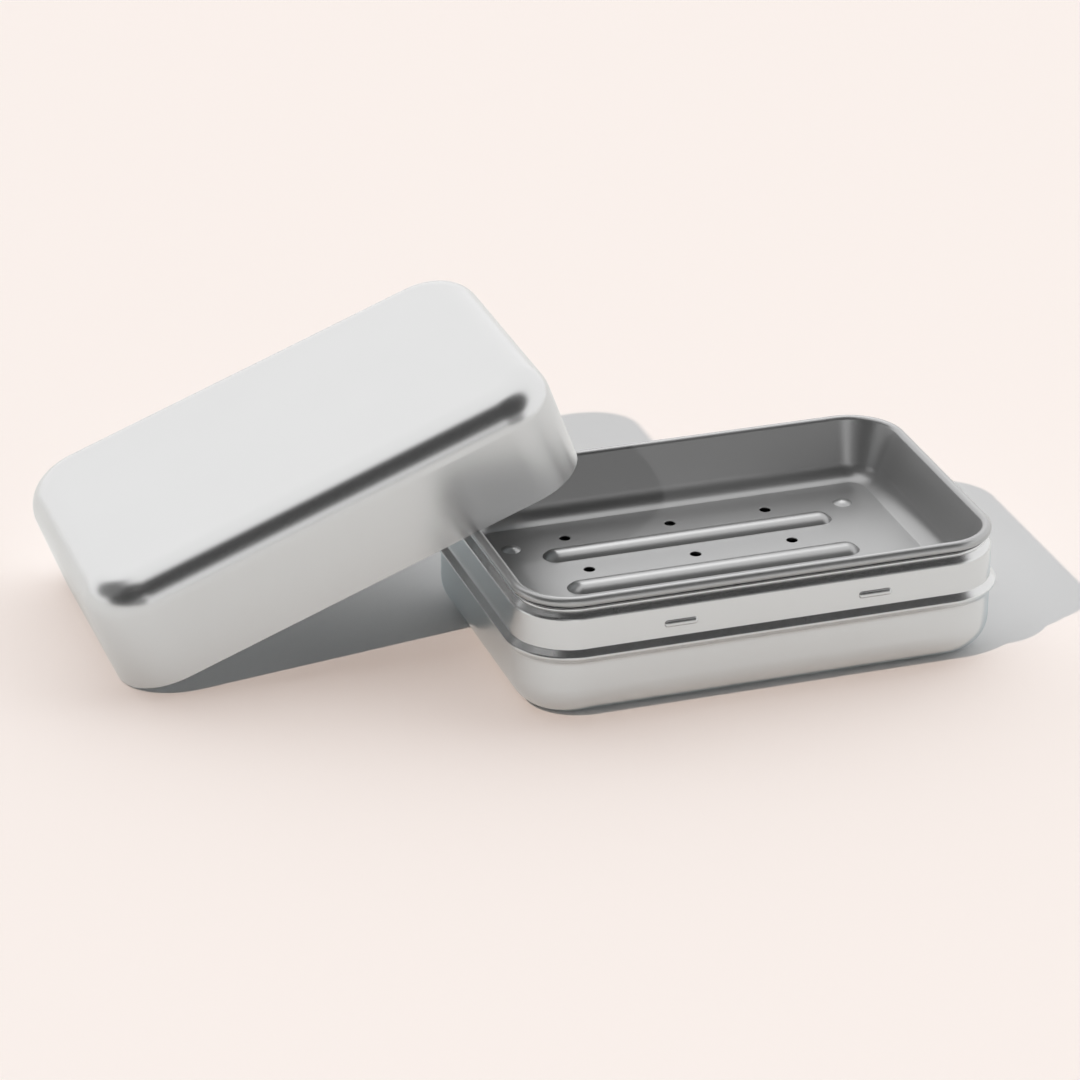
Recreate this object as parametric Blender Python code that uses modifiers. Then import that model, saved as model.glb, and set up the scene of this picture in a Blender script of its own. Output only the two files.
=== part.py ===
"""A pressed metal soap tin in three pieces: a base, a loose drain tray and a lid that has been taken off.

Metres, +Z up. The origin is the middle of the base's flat bottom, and X runs along the tin. Every piece is one
sheet of metal, drawn to a rounded rectangle. A section of the sheet is swept round that rectangle and then given
its thickness. The lid leans over the -X end, with one end on the table and its edge on the tray's rolled rim.
"""

import math

import bmesh
import bpy
from mathutils import Matrix

# The sheet, and the gaps between pieces
SHEET = 0.0003
SEAT_GAP = 0.0003
LID_CLEARANCE = 0.00025
OVERRUN = 0.0004

# Base: outside of the wall, its corners in plan, and the curve up from the flat bottom
BODY_LENGTH = 0.0997
BODY_WIDTH = 0.0653
BODY_CORNER = 0.0116
BOTTOM_RADIUS = 0.0068

# Base: the bead that stops the lid
BEAD_HEIGHT = 0.01445
BEAD_DEPTH = 0.00135
BEAD_RISE = 0.0013
BEAD_FALL = 0.0018
BEAD_NOSE_RADIUS = 0.0005
BEAD_FOOT_RADIUS = 0.0012
CREASE_RADIUS = 0.00015

# Base: the shoulder, the neck and the folded lip at its mouth
SHOULDER_HEIGHT = 0.0222
SHOULDER_RADIUS = 0.0011
LIP_INSET = 0.00128
LIP_FOLD_RADIUS = 0.00005
LIP_TURNDOWN = 0.00015

# Base: snap bumps, two on each long wall
BUMP_LENGTH = 0.0069
BUMP_HALF_WIDTH = 0.0007
BUMP_PROUD = 0.0006
BUMP_HEIGHT = 0.01855
BUMP_PITCH = 0.0403
BUMP_SHIFT = 0.0012

# Tray: the rolled rim, and how far its middle lies inside the base's wall
RIM_RADIUS = 0.00103
RIM_INSET = 0.00115
RIM_HEIGHT = 0.0255
RIM_CURL_END = math.radians(-112)

# Tray: depth from the middle of the rim to the floor, taper of the wall, and the cove at its foot
TRAY_DEPTH = 0.0110
TRAY_TAPER = 0.0027
COVE_RADIUS = 0.0048
COVE_END = math.radians(16)

# Tray: what is pressed and punched in the floor. The margins run from the edge of the floor
PATTERN_X = -0.0016
PATTERN_Y = 0.0024
RIB_END_MARGIN = 0.0105
RIB_HALF_WIDTH = 0.0029
RIB_RISE = 0.0014
RIB_PITCH = 0.0150
DIMPLE_END_MARGIN = 0.0056
DIMPLE_SIDE_MARGIN = 0.0109
DIMPLE_HALF_WIDTH = 0.0020
DIMPLE_RISE = 0.0006
HOLE_DIAMETER = 0.0023

# Tray: the columns of holes, as shares of the ribs' length from their middle
HOLE_COLUMN_SHARES = (-0.385, -0.02, 0.315)

# Lid: height, curve of the top edge, and how it leans
LID_HEIGHT = 0.0233
LID_TOP_RADIUS = 0.0066
LID_TILT = math.radians(20.9)
LID_ASIDE = 0.0345

# How finely curves are divided
CORNER_STEPS = 10
FINE_ANGLE = math.radians(23)
BROAD_ANGLE = math.radians(15)
CURL_ANGLE = math.radians(30)
PRESSED_STEPS = 24
SMALL_PRESSED_STEPS = 16
HOLE_STEPS = 16
SMOOTH_ANGLE = math.radians(40)
HALF_TURN = math.pi
QUARTER_TURN = math.pi / 2

METAL_COLOUR = (0.80, 0.80, 0.79, 1.0)
TRAY_COLOUR = (0.72, 0.72, 0.72, 1.0)
METAL_ROUGHNESS = 0.32
TRAY_ROUGHNESS = 0.28


def clear_scene():
    for obj in list(bpy.data.objects):
        bpy.data.objects.remove(obj, do_unlink=True)


def new_collection(name):
    collection = bpy.data.collections.new(name)
    bpy.context.scene.collection.children.link(collection)
    return collection


def metal(name, colour, roughness):
    material = bpy.data.materials.new(name)
    material.use_nodes = True
    shader = material.node_tree.nodes["Principled BSDF"]
    shader.inputs["Base Color"].default_value = colour
    shader.inputs["Metallic"].default_value = 1.0
    shader.inputs["Roughness"].default_value = roughness
    return material


def arc_points(centre, radius, start, end, step):
    """Points on an arc, ends included, no more than one step apart."""
    count = max(1, math.ceil(abs(end - start) / step - 1e-6))
    angles = [start + (end - start) * i / count for i in range(count + 1)]
    return [(centre[0] + radius * math.cos(a), centre[1] + radius * math.sin(a)) for a in angles]


def rounded_line(corners, step):
    """A line through corners given as (out, height, radius), with each corner that has a radius rounded."""
    line = []
    for index, (out, height, radius) in enumerate(corners):
        if not radius or index in (0, len(corners) - 1):
            line.append((out, height))
            continue
        before = corners[index - 1]
        after = corners[index + 1]
        back = math.atan2(before[1] - height, before[0] - out)
        ahead = math.atan2(after[1] - height, after[0] - out)
        opening = (ahead - back + HALF_TURN) % (2 * HALF_TURN) - HALF_TURN
        reach = radius / math.tan(abs(opening) / 2)
        middle = back + opening / 2
        span = radius / math.sin(abs(opening) / 2)
        centre = (out + span * math.cos(middle), height + span * math.sin(middle))
        first = (out + reach * math.cos(back), height + reach * math.sin(back))
        start = math.atan2(first[1] - centre[1], first[0] - centre[0])
        turn = math.copysign(HALF_TURN - abs(opening), -opening)
        line += arc_points(centre, radius, start, start + turn, step)
    return line


def curve_object(name, points, cyclic):
    """A flat curve made of straight pieces, the section that is swept."""
    data = bpy.data.curves.new(name, "CURVE")
    data.dimensions = "2D"
    data.fill_mode = "NONE"
    spline = data.splines.new("POLY")
    spline.points.add(len(points) - 1)
    for point, (x, y) in zip(spline.points, points):
        point.co = (x, y, 0, 1)
    spline.use_cyclic_u = cyclic
    obj = bpy.data.objects.new(name, data)
    bpy.context.scene.collection.objects.link(obj)
    return obj


def plan_object(name, half_length, half_width, corner):
    """A rounded rectangle as a Bezier curve, its long sides undivided and its corners quarter circles."""
    data = bpy.data.curves.new(name, "CURVE")
    data.dimensions = "2D"
    data.fill_mode = "NONE"
    data.resolution_u = CORNER_STEPS
    spline = data.splines.new("BEZIER")
    spline.bezier_points.add(7)
    pull = corner * 4 / 3 * math.tan(QUARTER_TURN / 4)
    index = 0
    for sign_x, sign_y in ((1, 1), (-1, 1), (-1, -1), (1, -1)):
        centre = (sign_x * (half_length - corner), sign_y * (half_width - corner))
        on_end = (centre[0] + sign_x * corner, centre[1])
        on_side = (centre[0], centre[1] + sign_y * corner)
        end_handle = (on_end[0], on_end[1] + sign_y * pull)
        side_handle = (on_side[0] + sign_x * pull, on_side[1])
        pair = [(on_end, end_handle), (on_side, side_handle)]
        if sign_x != sign_y:
            pair.reverse()
        for place, (spot, handle) in enumerate(pair):
            point = spline.bezier_points[index]
            point.co = (*spot, 0)
            arriving = place == 1
            point.handle_left_type = "FREE" if arriving else "VECTOR"
            point.handle_right_type = "VECTOR" if arriving else "FREE"
            if arriving:
                point.handle_left = (*handle, 0)
            else:
                point.handle_right = (*handle, 0)
            index += 1
    spline.use_cyclic_u = True
    obj = bpy.data.objects.new(name, data)
    bpy.context.scene.collection.objects.link(obj)
    return obj


def swept_sheet(name, half_length, half_width, corner, section):
    """The section swept round a rounded rectangle, with its first ring closed by a flat face.

    The section's points are (out from the rectangle, height).
    """
    profile = curve_object(name + "_section", [(-out, height) for out, height in section], False)
    plan = plan_object(name + "_plan", half_length, half_width, corner)
    plan.data.bevel_mode = "OBJECT"
    plan.data.bevel_object = profile
    graph = bpy.context.evaluated_depsgraph_get()
    mesh = bpy.data.meshes.new_from_object(plan.evaluated_get(graph))
    mesh.name = name
    for helper in (plan, profile):
        bpy.data.objects.remove(helper, do_unlink=True)
    bm = bmesh.new()
    bm.from_mesh(mesh)
    level = section[0][1]
    ring = [
        edge
        for edge in bm.edges
        if edge.is_boundary and all(abs(v.co.z - level) < SHEET / 10 for v in edge.verts)
    ]
    bmesh.ops.contextual_create(bm, geom=ring)
    bmesh.ops.recalc_face_normals(bm, faces=bm.faces[:])
    bm.to_mesh(mesh)
    bm.free()
    return mesh


def facing(mesh, upward):
    """Turns the open sheet over if its flat face doesn't face the way that is asked for."""
    bm = bmesh.new()
    bm.from_mesh(mesh)
    panel = max(bm.faces, key=lambda face: len(face.verts))
    if (panel.normal.z > 0) != upward:
        bmesh.ops.reverse_faces(bm, faces=bm.faces[:])
    bm.to_mesh(mesh)
    bm.free()


def finish(obj, material):
    obj.data.materials.clear()
    obj.data.materials.append(material)
    obj.data.shade_smooth()
    obj.data.set_sharp_from_angle(angle=SMOOTH_ANGLE)


def sheet_piece(name, mesh, collection, material):
    """An object whose mesh is the seen side of the sheet, with the thickness added behind it."""
    obj = bpy.data.objects.new(name, mesh)
    collection.objects.link(obj)
    finish(obj, material)
    solidify = obj.modifiers.new("sheet", "SOLIDIFY")
    solidify.thickness = SHEET
    solidify.offset = -1
    solidify.use_even_offset = True
    return obj


def combine(obj, tool, operation, name):
    boolean = obj.modifiers.new(name, "BOOLEAN")
    boolean.operation = operation
    boolean.object = tool
    boolean.solver = "EXACT"


def pressed_shape(bm, length, radius, axis_depth, floor, steps, placement):
    """A rounded bar cut off flat below, as it stands on a pressed sheet: half a turned capsule, added to bm.

    The bar lies along X with its axis a given depth below the sheet, and is kept above the level named floor.
    """
    shape = bmesh.new()
    half = length / 2
    step = 2 * HALF_TURN / steps
    outline = arc_points((-half, 0), radius, HALF_TURN, QUARTER_TURN, step)
    outline += arc_points((half, 0), radius, QUARTER_TURN, 0, step)
    verts = [shape.verts.new((x, 0, z)) for x, z in outline]
    edges = [shape.edges.new(pair) for pair in zip(verts, verts[1:])]
    bmesh.ops.spin(
        shape, geom=verts + edges, axis=(1, 0, 0), cent=(0, 0, 0), angle=2 * HALF_TURN, steps=steps
    )
    bmesh.ops.remove_doubles(shape, verts=shape.verts[:], dist=radius / 1000)
    everything = shape.verts[:] + shape.edges[:] + shape.faces[:]
    bmesh.ops.translate(shape, verts=shape.verts[:], vec=(0, 0, -axis_depth))
    bmesh.ops.bisect_plane(
        shape, geom=everything, plane_co=(0, 0, floor), plane_no=(0, 0, 1), clear_inner=True
    )
    rim = [edge for edge in shape.edges if edge.is_boundary]
    bmesh.ops.holes_fill(shape, edges=rim)
    bmesh.ops.recalc_face_normals(shape, faces=shape.faces[:])
    bmesh.ops.transform(shape, matrix=placement, verts=shape.verts[:])
    scratch = bpy.data.meshes.new("pressed")
    shape.to_mesh(scratch)
    shape.free()
    bm.from_mesh(scratch)
    bpy.data.meshes.remove(scratch)


def pressed_pair(raised, hollow, length, half_width, rise, steps, placement):
    """A raised form in the sheet and the hollow behind it, from the same axis and one sheet apart."""
    radius = (half_width**2 + rise**2) / (2 * rise)
    depth = radius - rise
    straight = max(0, length - 2 * half_width)
    pressed_shape(raised, straight, radius, depth, -SHEET / 2, steps, placement)
    pressed_shape(hollow, straight, radius - SHEET, depth, -SHEET - OVERRUN, steps, placement)


def tool_object(name, bm, collection):
    mesh = bpy.data.meshes.new(name)
    bm.to_mesh(mesh)
    bm.free()
    obj = bpy.data.objects.new(name, mesh)
    collection.objects.link(obj)
    obj.hide_render = True
    obj.display_type = "WIRE"
    return obj


def base_section():
    """The outside of the base as (out from the wall, height), from the flat bottom up to the folded lip."""
    lip_top = RIM_HEIGHT - RIM_RADIUS - SEAT_GAP - SHEET
    fold_height = lip_top - LIP_FOLD_RADIUS
    middle_of_bottom = (-BODY_WIDTH / 2, 0, 0)
    inside_lip = (-LIP_INSET, lip_top, 0)
    body = rounded_line(
        [
            middle_of_bottom,
            (0, 0, BOTTOM_RADIUS),
            (0, BEAD_HEIGHT - BEAD_FALL, BEAD_FOOT_RADIUS),
            (BEAD_DEPTH, BEAD_HEIGHT, BEAD_NOSE_RADIUS),
            (0, BEAD_HEIGHT + BEAD_RISE, CREASE_RADIUS),
            (0, SHOULDER_HEIGHT, SHOULDER_RADIUS),
            (-LIP_INSET, SHOULDER_HEIGHT + LIP_INSET, CREASE_RADIUS),
            inside_lip,
        ],
        FINE_ANGLE,
    )
    fold_centre = (-LIP_INSET + LIP_FOLD_RADIUS, fold_height)
    fold = arc_points(fold_centre, LIP_FOLD_RADIUS, HALF_TURN, 0, CURL_ANGLE)
    turned_down = (-LIP_INSET + 2 * LIP_FOLD_RADIUS, fold_height - LIP_TURNDOWN)
    return body[1:-1] + fold + [turned_down]


def tray_section():
    """The seen side of the tray as (out, height) from the middle of its rim, from floor to rolled rim."""
    foot = -RIM_RADIUS - TRAY_TAPER
    lean = math.atan2(TRAY_TAPER, TRAY_DEPTH)
    centre = (foot - COVE_RADIUS, COVE_RADIUS * math.cos(COVE_END) - TRAY_DEPTH)
    cove = arc_points(centre, COVE_RADIUS, COVE_END - QUARTER_TURN, -lean, BROAD_ANGLE)
    roll = arc_points((0, 0), RIM_RADIUS, HALF_TURN - lean, RIM_CURL_END, CURL_ANGLE)
    return cove + roll


def lid_section():
    """The outside of the lid from the edge of its flat top down to its open edge."""
    top = arc_points(
        (-LID_TOP_RADIUS, LID_HEIGHT - LID_TOP_RADIUS), LID_TOP_RADIUS, QUARTER_TURN, 0, BROAD_ANGLE
    )
    return top + [(0, 0)]


def make_base(collection, cutters, material):
    mesh = swept_sheet("base_tin", BODY_LENGTH / 2, BODY_WIDTH / 2, BODY_CORNER, base_section())
    facing(mesh, False)
    base = sheet_piece("base_tin", mesh, collection, material)
    raised = bmesh.new()
    hollow = bmesh.new()
    for side in (-1, 1):
        for end in (-1, 1):
            spot = Matrix.Translation(
                (BUMP_SHIFT + end * BUMP_PITCH / 2, side * BODY_WIDTH / 2, BUMP_HEIGHT)
            )
            outward = Matrix.Rotation(-side * QUARTER_TURN, 4, "X")
            pressed_pair(
                raised, hollow, BUMP_LENGTH, BUMP_HALF_WIDTH, BUMP_PROUD, SMALL_PRESSED_STEPS, spot @ outward
            )
    combine(base, tool_object("snap_bumps", raised, cutters), "UNION", "bumps")
    combine(base, tool_object("snap_bump_backs", hollow, cutters), "DIFFERENCE", "bump_backs")
    return base


def punch(bm, spot):
    """A punch through the tray's floor."""
    reach = SHEET + 2 * OVERRUN
    bmesh.ops.create_cone(
        bm,
        cap_ends=True,
        segments=HOLE_STEPS,
        radius1=HOLE_DIAMETER / 2,
        radius2=HOLE_DIAMETER / 2,
        depth=reach,
        matrix=spot @ Matrix.Translation((0, 0, -SHEET / 2)),
    )


def make_tray(collection, cutters, material):
    half_length = BODY_LENGTH / 2 - RIM_INSET
    half_width = BODY_WIDTH / 2 - RIM_INSET
    mesh = swept_sheet("drain_tray", half_length, half_width, BODY_CORNER - RIM_INSET, tray_section())
    facing(mesh, True)
    tray = sheet_piece("drain_tray", mesh, collection, material)
    tray.location = (0, 0, RIM_HEIGHT)
    floor = Matrix.Translation((PATTERN_X, PATTERN_Y, RIM_HEIGHT - TRAY_DEPTH))
    floor_edge = tray_section()[0][0]
    rib_length = 2 * (half_length + floor_edge - RIB_END_MARGIN)
    dimple_x = half_length + floor_edge - DIMPLE_END_MARGIN
    dimple_y = half_width + floor_edge - DIMPLE_SIDE_MARGIN
    raised = bmesh.new()
    hollow = bmesh.new()
    for side in (-1, 1):
        spot = floor @ Matrix.Translation((0, side * RIB_PITCH / 2, 0))
        pressed_pair(raised, hollow, rib_length, RIB_HALF_WIDTH, RIB_RISE, PRESSED_STEPS, spot)
        for end in (-1, 1):
            spot = floor @ Matrix.Translation((end * dimple_x, side * dimple_y, 0))
            pressed_pair(raised, hollow, 0, DIMPLE_HALF_WIDTH, DIMPLE_RISE, PRESSED_STEPS, spot)
    for row in (-1, 0, 1):
        for share in HOLE_COLUMN_SHARES:
            spot = floor @ Matrix.Translation((share * rib_length, row * RIB_PITCH, 0))
            punch(hollow, spot)
    combine(tray, tool_object("tray_pressings", raised, cutters), "UNION", "pressings")
    combine(tray, tool_object("tray_hollows", hollow, cutters), "DIFFERENCE", "hollows")
    return tray


def lid_place(half_length):
    """Where the middle of the lid's open side is, with one end on the table and its edge on the rim."""
    height = half_length * math.sin(LID_TILT)
    below = RIM_RADIUS + SEAT_GAP + (RIM_HEIGHT - height) * math.cos(LID_TILT)
    rim_end = BODY_LENGTH / 2 - RIM_INSET
    return (-rim_end - below / math.sin(LID_TILT), LID_ASIDE, height)


def make_lid(collection, material):
    grown = LID_CLEARANCE + SHEET
    half_length = BODY_LENGTH / 2 + grown
    half_width = BODY_WIDTH / 2 + grown
    mesh = swept_sheet("lid", half_length, half_width, BODY_CORNER + grown, lid_section())
    facing(mesh, True)
    lid = sheet_piece("lid", mesh, collection, material)
    lid.location = lid_place(half_length)
    lid.rotation_euler = (0, -LID_TILT, 0)
    return lid


def main():
    clear_scene()
    parts = new_collection("soap_tin")
    cutters = new_collection("cutters")
    body_metal = metal("body_metal", METAL_COLOUR, METAL_ROUGHNESS)
    tray_metal = metal("tray_metal", TRAY_COLOUR, TRAY_ROUGHNESS)
    make_base(parts, cutters, body_metal)
    make_tray(parts, cutters, tray_metal)
    make_lid(parts, body_metal)


main()
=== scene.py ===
"""The soap tin as photographed: base, drain tray and lid in satin metal, on a pale floor in a white room.

Each piece is one sheet of metal. A section of the sheet is swept round a rounded rectangle, forms are pressed
into its flat places, and it then gets its thickness.
"""

import math

import bmesh
import bpy
from mathutils import Matrix, Vector
from mathutils.geometry import delaunay_2d_cdt


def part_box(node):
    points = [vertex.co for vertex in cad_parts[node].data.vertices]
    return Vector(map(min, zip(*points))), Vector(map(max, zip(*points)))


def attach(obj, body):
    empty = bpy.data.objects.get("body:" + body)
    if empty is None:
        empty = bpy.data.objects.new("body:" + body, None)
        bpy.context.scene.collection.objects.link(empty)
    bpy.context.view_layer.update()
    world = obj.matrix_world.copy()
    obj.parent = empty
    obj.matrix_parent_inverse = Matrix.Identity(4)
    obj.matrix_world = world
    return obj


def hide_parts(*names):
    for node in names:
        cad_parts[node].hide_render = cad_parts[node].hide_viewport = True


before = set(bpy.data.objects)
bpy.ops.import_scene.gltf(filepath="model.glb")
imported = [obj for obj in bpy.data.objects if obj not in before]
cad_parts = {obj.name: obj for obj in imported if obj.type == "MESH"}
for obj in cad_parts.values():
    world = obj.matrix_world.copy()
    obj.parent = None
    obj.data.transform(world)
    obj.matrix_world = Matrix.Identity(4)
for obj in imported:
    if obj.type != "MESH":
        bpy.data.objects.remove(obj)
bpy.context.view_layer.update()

# The sheet and its finest features
SHEET = 0.0003
SEAT_GAP = 0.0003
SUPPORT = 0.00006
CREASE_RADIUS = 0.00015

# Base
BODY_CORNER = 0.0116
BOTTOM_RADIUS = 0.0068
BEAD_HEIGHT = 0.01445
BEAD_DEPTH = 0.00135
BEAD_RISE = 0.0013
BEAD_FALL = 0.0018
BEAD_NOSE_RADIUS = 0.00052
BEAD_FOOT_RADIUS = 0.0012
SHOULDER_HEIGHT = 0.0222
SHOULDER_RADIUS = 0.0011
LIP_INSET = 0.00128
LIP_FOLD_RADIUS = 0.00005
LIP_TURNDOWN = 0.00015

# Snap bumps on the base's long walls
BUMP_LENGTH = 0.0069
BUMP_HALF_WIDTH = 0.0007
BUMP_PROUD = 0.0006
BUMP_HEIGHT = 0.01855
BUMP_PITCH = 0.0403
BUMP_SHIFT = 0.0012
BUMP_FOOT_RADIUS = 0.00012

# Tray
RIM_RADIUS = 0.00103
RIM_INSET = 0.00115
RIM_HEIGHT = 0.0255
RIM_CURL_END = math.radians(-112)
TRAY_DEPTH = 0.0110
TRAY_TAPER = 0.0027
COVE_RADIUS = 0.0048
COVE_END = math.radians(16)
COVE_CREASE_RADIUS = 0.0006

# What is pressed and punched in the tray's floor
PATTERN_X = -0.0016
PATTERN_Y = 0.0024
RIB_END_MARGIN = 0.0105
RIB_HALF_WIDTH = 0.0029
RIB_RISE = 0.0014
RIB_PITCH = 0.0150
RIB_FOOT_RADIUS = 0.00012
DIMPLE_END_MARGIN = 0.0056
DIMPLE_SIDE_MARGIN = 0.0109
DIMPLE_HALF_WIDTH = 0.0020
DIMPLE_RISE = 0.0006
DIMPLE_FOOT_RADIUS = 0.00015
HOLE_DIAMETER = 0.0023
HOLE_EDGE_RADIUS = 0.00006
HOLE_COLUMN_SHARES = (-0.385, -0.02, 0.315)

# Lid
LID_TOP_RADIUS = 0.00675
LID_HEIGHT = 0.0233
LID_TILT = math.radians(20.9)
LID_ASIDE = 0.0345

# The metals: the tray's is the same satin metal made duller, and its colour is painted darker as painted
# shade for its place deep in the tin
BODY_COLOUR = (0.67, 0.67, 0.67)
BODY_METALLIC = 0.9
BODY_ROUGHNESS = 0.25
TRAY_SHADED_COLOUR = (0.43, 0.43, 0.43)
TRAY_METALLIC = 0.76
TRAY_ROUGHNESS = 0.31

# Faint clouds a few centimetres wide, in tone and roughness, and a fine grain in the surface
CLOUD_SCALE = 45
CLOUD_DETAIL = 3
CLOUD_LOW = 0.3
CLOUD_HIGH = 0.7
TONE_SHARES = (0.975, 1.02)
ROUGHNESS_SHARES = (0.95, 1.05)
GRAIN_SCALE = 2600
GRAIN_DETAIL = 2
GRAIN_DEPTH = 0.00003
GRAIN_STRENGTH = 0.05

# How finely curves are divided
CORNER_STEPS = 28
QUARTER_POINTS = CORNER_STEPS + 3
FINE_ANGLE = math.radians(9)
BROAD_ANGLE = math.radians(4)
FORM_STEPS = 28
HOLE_STEPS = 40
SMOOTH_ANGLE = math.radians(35)
NEARLY_HALFWAY = 0.45
MERGE_DISTANCE = 1e-9
ROUNDING = 1e-6

HALF_TURN = math.pi
QUARTER_TURN = math.pi / 2

# The camera: where it looks, from which side and how far off
CAMERA_AIM = (-0.03373, 0.00844, 0.01942)
CAMERA_AZIMUTH = math.radians(-18.883)
CAMERA_ELEVATION = math.radians(25.735)
CAMERA_ROLL = math.radians(0.35)
CAMERA_DISTANCE = 0.92244
CAMERA_FOCAL_PIXELS = 4637.05
IMAGE_PIXELS = 1080
SENSOR_WIDTH = 36

# The key lamp: warm on the floor, white on the metal, and with next to no glint
LAMP_PLACE = (-0.390, -0.220, 0.429)
LAMP_RADIUS = 0.0043
LAMP_STRENGTH = 0.315
LAMP_GLINT = 0.001
FLOOR_LAMP_COLOUR = (1.24, 0.96, 0.815)
WHITE = (1, 1, 1)

# The studio: an even white room, with round dark spots laid over it in this order, which the metal shows as
# its dark lines. Each is (strength, turn, rise, radius, edge), in degrees, turned from the back to the right.
ROOM_STRENGTH = 1.16
DARK_CEILING = (0.0, 165, 52, 34.5, 4)
DARK_LEFT = (0.0, 241, 29, 34, 6)
DIM_FRONT = (0.3, 157, 7, 17.5, 6)
DIM_LEFT = (0.2, 206, 8, 13, 6)
DIM_END = (0.15, 288, 32, 22, 6)

# A round softbox behind the tin and to its right, for the shine along the tray's ribs
SOFTBOX_TURN = math.radians(22)
SOFTBOX_RISE = math.radians(49)
SOFTBOX_SPREAD = math.radians(11)
SOFTBOX_DISTANCE = 1.0
SOFTBOX_STRENGTH = 1.5

# What the camera sees of the room past the floor's edge
BACKDROP_SEEN = (0.95, 0.87, 0.83, 1)

# The floor as the camera sees it, and as the metal reflects it
FLOOR_SIZE = 8.0
FLOOR_SEEN = (0.93, 0.93, 0.93, 1)
FLOOR_REFLECTED = (0.9, 0.975, 1.0, 1)


def arc_points(centre, radius, start, end, step):
    """Points on an arc, ends included, no more than one step apart."""
    count = max(1, math.ceil(abs(end - start) / step - ROUNDING))
    angles = [start + (end - start) * i / count for i in range(count + 1)]
    return [(centre[0] + radius * math.cos(a), centre[1] + radius * math.sin(a)) for a in angles]


def moved(point, towards, distance):
    """The point moved a little way towards another one, but not past the middle between them."""
    gap = math.dist(point, towards)
    share = min(distance / gap, NEARLY_HALFWAY) if gap else 0
    return tuple(a + (b - a) * share for a, b in zip(point, towards))


def rounded_line(corners, step):
    """A line through corners (out, height, radius), each rounded, with points just off each arc, which keep
    the flats flat."""
    arcs = [[corners[0][:2]]]
    for before, corner, after in zip(corners, corners[1:], corners[2:]):
        out, height, radius = corner
        back = math.atan2(before[1] - height, before[0] - out)
        ahead = math.atan2(after[1] - height, after[0] - out)
        opening = (ahead - back + HALF_TURN) % (2 * HALF_TURN) - HALF_TURN
        reach = radius / math.tan(abs(opening) / 2)
        middle = back + opening / 2
        span = radius / math.sin(abs(opening) / 2)
        centre = (out + span * math.cos(middle), height + span * math.sin(middle))
        first = (out + reach * math.cos(back), height + reach * math.sin(back))
        start = math.atan2(first[1] - centre[1], first[0] - centre[0])
        turn = math.copysign(HALF_TURN - abs(opening), -opening)
        arcs.append(arc_points(centre, radius, start, start + turn, step))
    arcs.append([corners[-1][:2]])
    return joined(arcs)


def joined(arcs):
    """Arcs in a row as one line, with support points on the straights between them."""
    line = list(arcs[0])
    for arc in arcs[1:]:
        last = line[-1]
        first = arc[0]
        if math.dist(last, first) > 3 * SUPPORT:
            line.append(moved(last, first, SUPPORT))
            line.append(moved(first, last, SUPPORT))
        line += arc[1:] if math.dist(last, first) < SUPPORT / 100 else arc
    return line


def plan_ring(half_length, half_width, corner, out):
    """Points anticlockwise round a rounded rectangle grown by out, with one just past each corner's ends."""
    points = []
    radius = corner + out
    turns = [QUARTER_TURN * i / CORNER_STEPS for i in range(CORNER_STEPS + 1)]
    for quarter, (sign_x, sign_y) in enumerate(((1, 1), (-1, 1), (-1, -1), (1, -1))):
        centre = Vector((sign_x * (half_length - corner), sign_y * (half_width - corner)))
        start = quarter * QUARTER_TURN
        arc = [centre + radius * Vector((math.cos(start + t), math.sin(start + t))) for t in turns]
        along_in = Vector((-math.sin(start), math.cos(start)))
        along_out = Vector((-math.sin(start + QUARTER_TURN), math.cos(start + QUARTER_TURN)))
        points += [arc[0] - along_in * SUPPORT] + arc + [arc[-1] + along_out * SUPPORT]
    return points


def swept(bm, half_length, half_width, corner, section, left_out=()):
    """Rings of vertices for the section's points, with faces between them. Returns the rings.

    left_out holds (ring, place) of the faces that a patch replaces.
    """
    rings = []
    for out, height in section:
        ring = plan_ring(half_length, half_width, corner, out)
        rings.append([bm.verts.new((x, y, height)) for x, y in ring])
    count = len(rings[0])
    for level, (low, high) in enumerate(zip(rings, rings[1:])):
        for place in range(count):
            if (level, place) in left_out:
                continue
            after = (place + 1) % count
            bm.faces.new((low[place], low[after], high[after], high[place]))
    return rings


def form_profile(half_width, rise, foot_radius):
    """(distance from the middle, height) down the side of a round pressed form, with a fillet at its foot."""
    radius = (half_width**2 + rise**2) / (2 * rise)
    depth = radius - rise
    foot = math.sqrt((radius + foot_radius) ** 2 - (depth + foot_radius) ** 2)
    lean = math.atan2(depth + foot_radius, foot)
    crown = arc_points((0, -depth), radius, QUARTER_TURN, lean, BROAD_ANGLE)
    fillet = arc_points((foot, foot_radius), foot_radius, lean + HALF_TURN, 3 * QUARTER_TURN, FINE_ANGLE)
    return crown + fillet[1:]


def capsule(centre, half_straight, distance, steps):
    """Points at one distance round a straight along X, or round a point."""
    points = []
    for side in (1, -1):
        start = -side * QUARTER_TURN
        for i in range(steps // 2 + 1):
            angle = start + HALF_TURN * i / (steps // 2)
            spot = (side * half_straight + distance * math.cos(angle), distance * math.sin(angle))
            points.append((centre[0] + spot[0], centre[1] + spot[1]))
    return points


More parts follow.
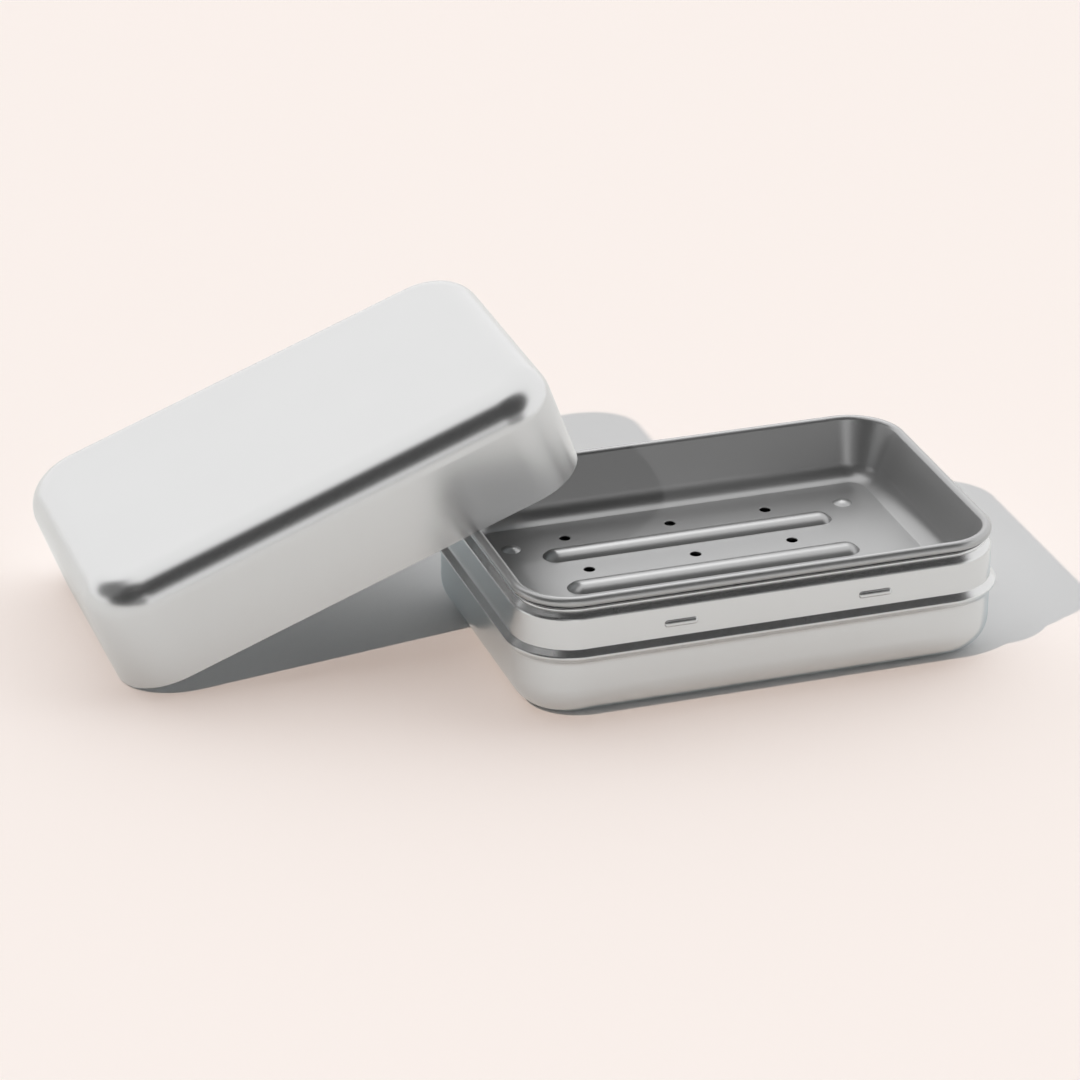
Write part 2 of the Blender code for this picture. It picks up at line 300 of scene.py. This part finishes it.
class Patch:
    """A flat place filled with triangles that follow the contours of what is pressed into it."""

    def __init__(self, bm, loop, place):
        self.bm = bm
        self.place = place
        back = place.inverted()
        self.verts = list(loop)
        self.points = [(back @ v.co).xy for v in loop]
        self.edges = [(i, (i + 1) % len(loop)) for i in range(len(loop))]
        self.heights = [0.0] * len(loop)
        self.holes = []

    def contour(self, points, height):
        """A closed line at one height that the triangles keep to."""
        start = len(self.points)
        self.points += [Vector(p) for p in points]
        self.heights += [height] * len(points)
        self.verts += [None] * len(points)
        self.edges += [(start + i, start + (i + 1) % len(points)) for i in range(len(points))]

    def form(self, centre, half_straight, profile, steps):
        """A raised rib, dimple or bump."""
        for distance, height in profile[1:]:
            self.contour(capsule(centre, half_straight, distance, steps), height)
        self.contour(capsule(centre, half_straight, profile[-1][0] + SUPPORT, steps), 0.0)
        top = profile[0][1]
        start = len(self.points)
        ends = [(centre[0] - half_straight, centre[1]), (centre[0] + half_straight, centre[1])]
        ends = ends if half_straight else ends[:1]
        self.points += [Vector(p) for p in ends]
        self.heights += [top] * len(ends)
        self.verts += [None] * len(ends)
        if len(ends) == 2:
            self.edges.append((start, start + 1))

    def hole(self, centre, radius):
        """A punched hole whose edge is drawn down a little."""
        for distance, drop in hole_profile():
            self.contour(capsule(centre, 0, radius + distance, HOLE_STEPS), -drop)
        self.holes.append((Vector(centre), radius))

    def fill(self):
        """Triangles between the loop and the contours, with none over a hole."""
        points, _, faces, origins, _, _ = delaunay_2d_cdt(self.points, self.edges, [], 0, MERGE_DISTANCE)
        verts = []
        for point, sources in zip(points, origins):
            known = [self.verts[s] for s in sources if self.verts[s]]
            if known:
                verts.append(known[0])
                continue
            height = self.heights[sources[0]] if sources else 0.0
            verts.append(self.bm.verts.new(self.place @ Vector((point.x, point.y, height))))
        for face in faces:
            middle = sum((points[i] for i in face), Vector((0, 0))) / len(face)
            if any((middle - centre).length < radius for centre, radius in self.holes):
                continue
            corners = [verts[i] for i in face]
            if len(set(corners)) == len(corners):
                self.bm.faces.new(corners)


def hole_profile():
    """(distance from the hole's wall, drop below the floor) over its rounded edge, from the wall outwards."""
    arc = arc_points((0, 0), HOLE_EDGE_RADIUS, HALF_TURN, QUARTER_TURN, FINE_ANGLE * 2)
    line = [(HOLE_EDGE_RADIUS + x, HOLE_EDGE_RADIUS - y) for x, y in arc]
    return line + [(HOLE_EDGE_RADIUS + SUPPORT, 0.0)]


def sheet_piece(name, bm, upward, body, material, place=Matrix.Identity(4)):
    """Turns the open sheet into a piece with its thickness behind the seen side, in place of the CAD node."""
    bmesh.ops.recalc_face_normals(bm, faces=bm.faces[:])
    flattest = max(bm.faces, key=lambda face: abs(face.normal.z) * face.calc_area())
    if (flattest.normal.z > 0) != upward:
        bmesh.ops.reverse_faces(bm, faces=bm.faces[:])
    mesh = bpy.data.meshes.new(name)
    bm.to_mesh(mesh)
    bm.free()
    obj = bpy.data.objects.new(name + "_sheet", mesh)
    bpy.context.scene.collection.objects.link(obj)
    solidify = obj.modifiers.new("sheet", "SOLIDIFY")
    solidify.thickness = SHEET
    solidify.offset = -1
    solidify.use_even_offset = True
    graph = bpy.context.evaluated_depsgraph_get()
    solid = bpy.data.meshes.new_from_object(obj.evaluated_get(graph))
    obj.modifiers.clear()
    obj.data = solid
    bpy.data.meshes.remove(mesh)
    solid.name = name + "_sheet"
    solid.transform(place)
    solid.materials.clear()
    solid.materials.append(material)
    solid.shade_smooth()
    solid.set_sharp_from_angle(angle=SMOOTH_ANGLE)
    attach(obj, body)
    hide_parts(name)
    return obj


def half_sizes(node, inset):
    """Half the length and width of a node's box, less an inset."""
    low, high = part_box(node)
    return (high[0] - low[0]) / 2 - inset, (high[1] - low[1]) / 2 - inset


def long_straight(side):
    """The place along a ring where the long straight on one side begins."""
    return QUARTER_POINTS - 1 if side > 0 else 3 * QUARTER_POINTS - 1


def base_section():
    """From the bottom's edge up over the bead and the shoulder to the folded lip, as (out, height)."""
    lip_top = RIM_HEIGHT - RIM_RADIUS - SEAT_GAP - SHEET
    fold_height = lip_top - LIP_FOLD_RADIUS
    body = rounded_line(
        [
            (-BODY_CORNER, 0, 0),
            (0, 0, BOTTOM_RADIUS),
            (0, BEAD_HEIGHT - BEAD_FALL, BEAD_FOOT_RADIUS),
            (BEAD_DEPTH, BEAD_HEIGHT, BEAD_NOSE_RADIUS),
            (0, BEAD_HEIGHT + BEAD_RISE, CREASE_RADIUS),
            (0, SHOULDER_HEIGHT, SHOULDER_RADIUS),
            (-LIP_INSET, SHOULDER_HEIGHT + LIP_INSET, CREASE_RADIUS),
            (-LIP_INSET, fold_height, 0),
        ],
        FINE_ANGLE,
    )
    fold_centre = (-LIP_INSET + LIP_FOLD_RADIUS, fold_height)
    fold = arc_points(fold_centre, LIP_FOLD_RADIUS, HALF_TURN, 0, FINE_ANGLE * 2)
    turned_down = (-LIP_INSET + 2 * LIP_FOLD_RADIUS, fold_height - LIP_TURNDOWN)
    return body[1:-1] + fold + [turned_down]


def upper_wall(section):
    """The step of the base's section that is its tall straight wall above the bead."""
    steps = [i for i in range(len(section) - 1) if section[i][1] > BEAD_HEIGHT]
    return max(steps, key=lambda i: section[i + 1][1] - section[i][1])


def make_base(material):
    """The tin: a swept section, closed by its flat bottom, with two snap bumps on each long wall."""
    half_length, half_width = half_sizes("drain_tray", RIM_RADIUS - RIM_INSET)
    section = base_section()
    wall = upper_wall(section)
    left_out = {(wall, long_straight(side)) for side in (1, -1)}
    bm = bmesh.new()
    rings = swept(bm, half_length, half_width, BODY_CORNER, section, left_out)
    bm.faces.new(rings[0])
    low, high = rings[wall], rings[wall + 1]
    profile = form_profile(BUMP_HALF_WIDTH, BUMP_PROUD, BUMP_FOOT_RADIUS)
    for side in (1, -1):
        start = long_straight(side)
        end = start + 1
        place = Matrix.Translation((BUMP_SHIFT, side * half_width, BUMP_HEIGHT))
        place = place @ Matrix.Rotation(-side * QUARTER_TURN, 4, "X")
        patch = Patch(bm, [low[start], low[end], high[end], high[start]], place)
        for end in (-1, 1):
            centre = (end * BUMP_PITCH / 2, 0)
            patch.form(centre, BUMP_LENGTH / 2 - BUMP_HALF_WIDTH, profile, FORM_STEPS)
        patch.fill()
    return sheet_piece("base_tin", bm, False, "base", material)


def tray_section():
    """From the floor's edge up the cove and the tapered wall, and round the rolled rim, as (out, height)."""
    foot = -RIM_RADIUS - TRAY_TAPER
    lean = math.atan2(TRAY_TAPER, TRAY_DEPTH)
    centre = (foot - COVE_RADIUS, COVE_RADIUS * math.cos(COVE_END) - TRAY_DEPTH)
    cove = arc_points(centre, COVE_RADIUS, COVE_END - QUARTER_TURN, -lean, BROAD_ANGLE)
    edge = cove[0]
    reach = COVE_CREASE_RADIUS * math.tan(COVE_END / 2)
    crease = arc_points(
        (edge[0] - reach, edge[1] + COVE_CREASE_RADIUS),
        COVE_CREASE_RADIUS,
        -QUARTER_TURN,
        COVE_END - QUARTER_TURN,
        BROAD_ANGLE,
    )
    roll = arc_points((0, 0), RIM_RADIUS, HALF_TURN - lean, RIM_CURL_END, FINE_ANGLE)
    inside = (edge[0] - reach - SUPPORT, edge[1])
    cove = [point for point in cove if point[0] > crease[-1][0] + SUPPORT]
    line = [inside] + crease + cove
    return [(out, RIM_HEIGHT + height) for out, height in joined([line, roll])]


def make_tray(material):
    """The tray: a swept section, closed by its floor with the ribs, dimples and drain holes."""
    half_length, half_width = half_sizes("drain_tray", RIM_RADIUS)
    section = tray_section()
    bm = bmesh.new()
    rings = swept(bm, half_length, half_width, BODY_CORNER - RIM_INSET, section)
    floor = Matrix.Translation((PATTERN_X, PATTERN_Y, RIM_HEIGHT - TRAY_DEPTH))
    floor_edge = section[0][0] + SUPPORT
    rib_half = half_length + floor_edge - RIB_END_MARGIN
    dimple_x = half_length + floor_edge - DIMPLE_END_MARGIN
    dimple_y = half_width + floor_edge - DIMPLE_SIDE_MARGIN
    rib = form_profile(RIB_HALF_WIDTH, RIB_RISE, RIB_FOOT_RADIUS)
    dimple = form_profile(DIMPLE_HALF_WIDTH, DIMPLE_RISE, DIMPLE_FOOT_RADIUS)
    patch = Patch(bm, rings[0], floor)
    for side in (-1, 1):
        patch.form((0, side * RIB_PITCH / 2), rib_half - RIB_HALF_WIDTH, rib, FORM_STEPS)
        for end in (-1, 1):
            patch.form((end * dimple_x, side * dimple_y), 0, dimple, FORM_STEPS)
    for row in (-1, 0, 1):
        for share in HOLE_COLUMN_SHARES:
            patch.hole((share * 2 * rib_half, row * RIB_PITCH), HOLE_DIAMETER / 2)
    patch.fill()
    return sheet_piece("drain_tray", bm, True, "tray", material)


def lid_place(half_length):
    """Tilted, with its low edge on the ground and its open side a seat gap above the tray's left rim."""
    height = half_length * math.sin(LID_TILT)
    below = RIM_RADIUS + SEAT_GAP + (RIM_HEIGHT - height) * math.cos(LID_TILT)
    rim_end, _ = half_sizes("drain_tray", RIM_RADIUS)
    place = Matrix.Translation((-rim_end - below / math.sin(LID_TILT), LID_ASIDE, height))
    return place @ Matrix.Rotation(-LID_TILT, 4, "Y")


def make_lid(material):
    """The lid: as much larger all round than the base's wall as the width of its CAD box tells."""
    wall_length, wall_width = half_sizes("drain_tray", RIM_RADIUS - RIM_INSET)
    _, half_width = half_sizes("lid", 0)
    grown = half_width - wall_width
    half_length = wall_length + grown
    centre = (-LID_TOP_RADIUS, LID_HEIGHT - LID_TOP_RADIUS)
    top = arc_points(centre, LID_TOP_RADIUS, QUARTER_TURN, 0, BROAD_ANGLE)
    inside = (top[0][0] - SUPPORT, top[0][1])
    section = joined([[inside] + top, [(0, 0)]])
    bm = bmesh.new()
    rings = swept(bm, half_length, half_width, BODY_CORNER + grown, section)
    bm.faces.new(rings[0])
    return sheet_piece("lid", bm, True, "cover", material, lid_place(half_length))


def node(tree, kind, **values):
    """A new node with its properties set."""
    made = tree.nodes.new(kind)
    for name, value in values.items():
        setattr(made, name, value)
    return made


def satin_metal(name, colour, metallic, roughness):
    """Drawn tinplate: a fine even grain, with faint unevenness in its tone and in how sharply it reflects."""
    material = bpy.data.materials.new(name)
    material.use_nodes = True
    tree = material.node_tree
    shader = tree.nodes["Principled BSDF"]
    shader.inputs["Metallic"].default_value = metallic
    place = node(tree, "ShaderNodeTexCoord")
    cloud = node(tree, "ShaderNodeTexNoise")
    cloud.inputs["Scale"].default_value = CLOUD_SCALE
    cloud.inputs["Detail"].default_value = CLOUD_DETAIL
    tree.links.new(place.outputs["Object"], cloud.inputs["Vector"])
    rough = node(tree, "ShaderNodeMapRange")
    rough.inputs["From Min"].default_value = CLOUD_LOW
    rough.inputs["From Max"].default_value = CLOUD_HIGH
    rough.inputs["To Min"].default_value = roughness * ROUGHNESS_SHARES[0]
    rough.inputs["To Max"].default_value = roughness * ROUGHNESS_SHARES[1]
    tree.links.new(cloud.outputs["Fac"], rough.inputs["Value"])
    tree.links.new(rough.outputs["Result"], shader.inputs["Roughness"])
    tone = node(tree, "ShaderNodeMix", data_type="RGBA")
    tone.inputs["A"].default_value = [c * TONE_SHARES[0] for c in colour] + [1]
    tone.inputs["B"].default_value = [c * TONE_SHARES[1] for c in colour] + [1]
    tree.links.new(cloud.outputs["Fac"], tone.inputs["Factor"])
    tree.links.new(tone.outputs["Result"], shader.inputs["Base Color"])
    grain = node(tree, "ShaderNodeTexNoise")
    grain.inputs["Scale"].default_value = GRAIN_SCALE
    grain.inputs["Detail"].default_value = GRAIN_DETAIL
    tree.links.new(place.outputs["Object"], grain.inputs["Vector"])
    bump = node(tree, "ShaderNodeBump")
    bump.inputs["Strength"].default_value = GRAIN_STRENGTH
    bump.inputs["Distance"].default_value = GRAIN_DEPTH
    tree.links.new(grain.outputs["Fac"], bump.inputs["Height"])
    tree.links.new(bump.outputs["Normal"], shader.inputs["Normal"])
    return material


def make_floor():
    """A plain matt floor of one colour to the camera and another, cooler one in the metal."""
    half = FLOOR_SIZE / 2
    corners = [(-half, -half, 0), (half, -half, 0), (half, half, 0), (-half, half, 0)]
    mesh = bpy.data.meshes.new("floor")
    mesh.from_pydata(corners, [], [(0, 1, 2, 3)])
    floor = bpy.data.objects.new("floor", mesh)
    bpy.context.scene.collection.objects.link(floor)
    material = bpy.data.materials.new("pale_floor")
    material.use_nodes = True
    tree = material.node_tree
    shader = tree.nodes["Principled BSDF"]
    shader.inputs["Roughness"].default_value = 1.0
    shader.inputs["Specular IOR Level"].default_value = 0.0
    path = node(tree, "ShaderNodeLightPath")
    colour = node(tree, "ShaderNodeMix", data_type="RGBA")
    colour.inputs["A"].default_value = FLOOR_REFLECTED
    colour.inputs["B"].default_value = FLOOR_SEEN
    tree.links.new(path.outputs["Is Camera Ray"], colour.inputs["Factor"])
    tree.links.new(colour.outputs["Result"], shader.inputs["Base Color"])
    mesh.materials.append(material)
    return floor


def room_direction(turn, rise):
    """The direction of a place in the room, from its turn round from the back and its rise."""
    return math.cos(rise) * math.sin(turn), math.cos(rise) * math.cos(turn), math.sin(rise)


def linked(tree, kind, sources, **values):
    """A new node whose first inputs take the sources, each a socket or a fixed value."""
    made = node(tree, kind, **values)
    for socket, source in zip(made.inputs, sources):
        if isinstance(source, bpy.types.NodeSocket):
            tree.links.new(source, socket)
        else:
            socket.default_value = source
    return made.outputs[0]


def soft_step(tree, value, low, high):
    """Rises smoothly from 0 to 1 as the value goes from low to high."""
    return linked(tree, "ShaderNodeMapRange", (value, low, high), interpolation_type="SMOOTHSTEP")


def between(tree, share, at_none, at_full):
    """Goes from one value to the other as the share goes from 0 to 1."""
    return linked(tree, "ShaderNodeMapRange", (share, 0.0, 1.0, at_none, at_full))


def laid_over(tree, direction, under, spot):
    """The room's strength with a round spot of another strength laid over it, with a soft edge."""
    strength, turn, rise, radius, edge = spot
    dot = node(tree, "ShaderNodeVectorMath", operation="DOT_PRODUCT")
    tree.links.new(direction, dot.inputs[0])
    dot.inputs[1].default_value = room_direction(math.radians(turn), math.radians(rise))
    outer = math.cos(math.radians(radius + edge))
    inner = math.cos(math.radians(radius - edge))
    return between(tree, soft_step(tree, dot.outputs["Value"], outer, inner), under, strength)


def make_room():
    """The room lights and shows in the metal as it is, and to the camera it is a plain backdrop."""
    world = bpy.data.worlds.new("studio")
    bpy.context.scene.world = world
    world.use_nodes = True
    tree = world.node_tree
    background = tree.nodes["Background"]
    background.inputs["Color"].default_value = (*WHITE, 1)
    direction = node(tree, "ShaderNodeTexCoord").outputs["Generated"]
    strength = ROOM_STRENGTH
    for spot in (DARK_CEILING, DARK_LEFT, DIM_FRONT, DIM_LEFT, DIM_END):
        strength = laid_over(tree, direction, strength, spot)
    tree.links.new(strength, background.inputs["Strength"])
    backdrop = node(tree, "ShaderNodeBackground")
    backdrop.inputs["Color"].default_value = BACKDROP_SEEN
    path = node(tree, "ShaderNodeLightPath")
    shown = node(tree, "ShaderNodeMixShader")
    tree.links.new(path.outputs["Is Camera Ray"], shown.inputs["Fac"])
    tree.links.new(background.outputs["Background"], shown.inputs[1])
    tree.links.new(backdrop.outputs["Background"], shown.inputs[2])
    tree.links.new(shown.outputs["Shader"], tree.nodes["World Output"].inputs["Surface"])


def light_only(lamp, lit):
    """Keeps a lamp's light to the given objects."""
    receivers = bpy.data.collections.new(lamp.name + "_lights")
    for obj in lit:
        receivers.objects.link(obj)
    lamp.light_linking.receiver_collection = receivers


def make_softbox(lit):
    """A disc that faces the tin, whose energy gives each point of it the softbox's strength."""
    radius = SOFTBOX_DISTANCE * math.tan(SOFTBOX_SPREAD)
    light = bpy.data.lights.new("softbox", "AREA")
    light.shape = "DISK"
    light.size = 2 * radius
    light.energy = SOFTBOX_STRENGTH * (math.pi * radius) ** 2
    lamp = bpy.data.objects.new("softbox", light)
    direction = Vector(room_direction(SOFTBOX_TURN, SOFTBOX_RISE))
    facing = direction.to_track_quat("Z", "Y").to_matrix().to_4x4()
    lamp.matrix_world = Matrix.Translation(direction * SOFTBOX_DISTANCE) @ facing
    bpy.context.scene.collection.objects.link(lamp)
    light_only(lamp, lit)


def make_lamp(name, strength, colour, lit, glint=False):
    """The key lamp, small and up to the left of the camera, which lights the whole floor evenly.

    Its light doesn't fade with distance, and is divided by how steeply it falls, so that a level floor gets
    as much everywhere. It lights only the objects in lit: their plain shading, or with glint its own shine.
    """
    light = bpy.data.lights.new(name, "POINT")
    light.shadow_soft_size = LAMP_RADIUS
    light.energy = 1
    light.color = colour
    light.use_nodes = True
    tree = light.node_tree
    emission = tree.nodes["Emission"]
    direction = node(tree, "ShaderNodeTexCoord")
    split = node(tree, "ShaderNodeSeparateXYZ")
    tree.links.new(direction.outputs["Normal"], split.inputs["Vector"])
    steepness = node(tree, "ShaderNodeMath", operation="ABSOLUTE")
    tree.links.new(split.outputs["Z"], steepness.inputs[0])
    # A point lamp's energy is spread over 4 pi^2, so this makes the strength the light that the floor gets
    evened = node(tree, "ShaderNodeMath", operation="DIVIDE")
    evened.inputs[0].default_value = strength * 4 * math.pi**2
    tree.links.new(steepness.outputs["Value"], evened.inputs[1])
    falloff = node(tree, "ShaderNodeLightFalloff")
    tree.links.new(evened.outputs["Value"], falloff.inputs["Strength"])
    tree.links.new(falloff.outputs["Constant"], emission.inputs["Strength"])
    lamp = bpy.data.objects.new(name, light)
    lamp.location = LAMP_PLACE
    lamp.visible_glossy = glint
    lamp.visible_diffuse = not glint
    bpy.context.scene.collection.objects.link(lamp)
    light_only(lamp, lit)


def make_camera():
    """A long lens, to the left of the tin's front and a little above it."""
    data = bpy.data.cameras.new("camera")
    data.sensor_width = SENSOR_WIDTH
    data.lens = CAMERA_FOCAL_PIXELS * SENSOR_WIDTH / IMAGE_PIXELS
    data.clip_start = CAMERA_DISTANCE / 10
    camera = bpy.data.objects.new("camera", data)
    turn = Matrix.Rotation(CAMERA_AZIMUTH, 4, "Z") @ Matrix.Rotation(QUARTER_TURN - CAMERA_ELEVATION, 4, "X")
    turn = turn @ Matrix.Rotation(CAMERA_ROLL, 4, "Z")
    camera.matrix_world = Matrix.Translation(CAMERA_AIM) @ turn @ Matrix.Translation((0, 0, CAMERA_DISTANCE))
    bpy.context.scene.collection.objects.link(camera)
    bpy.context.scene.camera = camera


body_metal = satin_metal("body_satin_metal", BODY_COLOUR, BODY_METALLIC, BODY_ROUGHNESS)
# The tray's darker colour is painted shade, not a darker metal
tray_shaded_metal = satin_metal("tray_shaded_satin_metal", TRAY_SHADED_COLOUR, TRAY_METALLIC, TRAY_ROUGHNESS)
base = make_base(body_metal)
tray = make_tray(tray_shaded_metal)
lid = make_lid(body_metal)
floor = make_floor()
make_room()
make_lamp("key_on_floor", LAMP_STRENGTH, FLOOR_LAMP_COLOUR, [floor])
make_lamp("key_on_metal", LAMP_STRENGTH, WHITE, [base, tray, lid])
make_lamp("key_glint", LAMP_GLINT, WHITE, [base, tray, lid], glint=True)
make_softbox([tray])
make_camera()
bpy.context.scene.view_settings.view_transform = "Standard"
